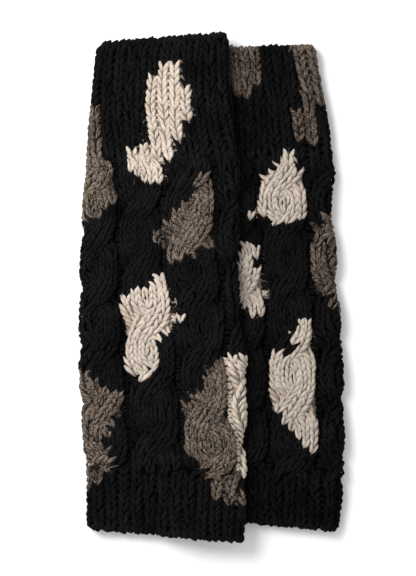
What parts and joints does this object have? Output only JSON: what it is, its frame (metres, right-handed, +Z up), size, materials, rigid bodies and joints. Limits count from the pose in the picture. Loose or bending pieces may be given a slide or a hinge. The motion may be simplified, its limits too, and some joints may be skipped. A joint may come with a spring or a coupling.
{
  "type": "pair of cable-knit arm warmers",
  "caption": "Chunky cable-knit wool arm warmers with ribbed cuffs, laid flat, the left one overlapping the right one.",
  "frame": {"origin": "middle of the pair's box, on the surface it lies on", "axes": "+X across the pair from the left warmer to the right one, +Y along the arms towards the narrow cuffs, +Z up from the surface"},
  "size_m": [0.1994, 0.3843, 0.0255],
  "materials": {
    "charcoal_wool": "thick matte wool knit, near black",
    "cream_wool": "thick matte wool knit, undyed cream",
    "taupe_wool": "thick matte wool knit, marled grey-brown"
  },
  "bodies": {
    "root": {"left_warmer_top_rib": "charcoal_wool", "left_warmer_cabled_tube": "charcoal_wool", "left_warmer_bottom_rib": "charcoal_wool", "right_warmer_top_rib": "charcoal_wool", "right_warmer_cabled_tube": "charcoal_wool", "right_warmer_bottom_rib": "charcoal_wool"}
  },
  "joints": []
}
